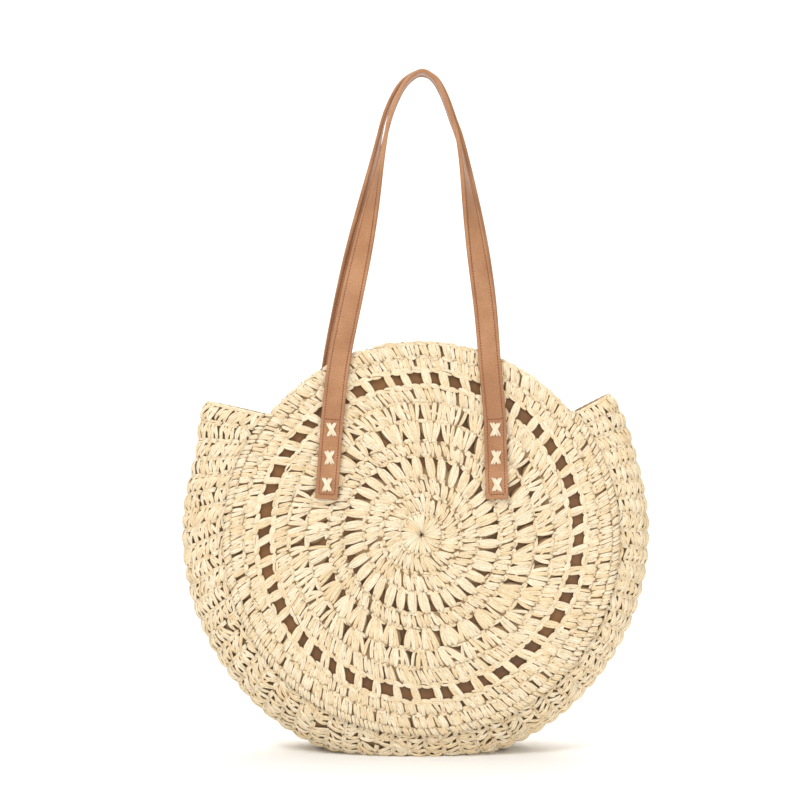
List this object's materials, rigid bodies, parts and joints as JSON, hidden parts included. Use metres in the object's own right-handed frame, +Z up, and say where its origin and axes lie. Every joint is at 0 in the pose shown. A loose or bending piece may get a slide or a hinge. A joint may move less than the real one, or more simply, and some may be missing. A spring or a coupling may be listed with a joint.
{
  "type": "beach bag",
  "caption": "Round crocheted straw beach bag: two openwork discs joined by a folded gusset band, satin lining, and a pair of long sewn leather strap handles.",
  "frame": {"origin": "on the surface that the bag stands on, at the middle of the bag's width and depth", "axes": "+Z up, the front panel faces -Y, +X to the right seen from the front"},
  "size_m": [0.4472, 0.104, 0.6558],
  "materials": {
    "straw": "matte crocheted paper straw, cream",
    "seam_straw": "matte crocheted paper straw, tightly worked",
    "cross_straw": "matte paper straw, pale cream, thick stitches",
    "lining_satin": "brown satin lining, soft sheen",
    "strap_leather": "tan synthetic leather, fine grain, turned and stitched edges",
    "snap_metal": "antique brass, satin"
  },
  "bodies": {
    "bag_body": {"back_panel": "straw", "back_lining": "lining_satin", "back_joining_seam": "seam_straw", "back_left_handle_tab": "strap_leather", "back_left_cross_stitch_1": "cross_straw", "back_left_cross_stitch_2": "cross_straw", "back_left_cross_stitch_3": "cross_straw", "back_right_handle_tab": "strap_leather", "back_right_cross_stitch_1": "cross_straw", "back_right_cross_stitch_2": "cross_straw", "back_right_cross_stitch_3": "cross_straw", "snap_stud": "snap_metal", "gusset_band": "straw", "gusset_lining": "lining_satin"},
    "front_face": {"front_panel": "straw", "front_lining": "lining_satin", "front_joining_seam": "seam_straw", "front_left_handle_tab": "strap_leather", "front_left_cross_stitch_1": "cross_straw", "front_left_cross_stitch_2": "cross_straw", "front_left_cross_stitch_3": "cross_straw", "front_right_handle_tab": "strap_leather", "front_right_cross_stitch_1": "cross_straw", "front_right_cross_stitch_2": "cross_straw", "front_right_cross_stitch_3": "cross_straw", "snap_socket": "snap_metal"},
    "front_handle": {"front_handle_strap": "strap_leather"},
    "back_handle": {"back_handle_strap": "strap_leather"}
  },
  "joints": [
    {"name": "mouth_opening", "type": "hinge", "parent": "bag_body", "child": "front_face", "pos_m": [0.00525, -0.0474, 0.02082], "axis": [1, 0, 0], "range_deg": [0, 12]},
    {"name": "front_handle_swing", "type": "hinge", "parent": "front_face", "child": "front_handle", "pos_m": [0.00525, -0.02836, 0.31788], "axis": [1, 0, 0], "range_deg": [0, 140]},
    {"name": "back_handle_swing", "type": "hinge", "parent": "bag_body", "child": "back_handle", "pos_m": [0.00525, 0.02836, 0.31788], "axis": [-1, 0, 0], "range_deg": [0, 140]}
  ]
}
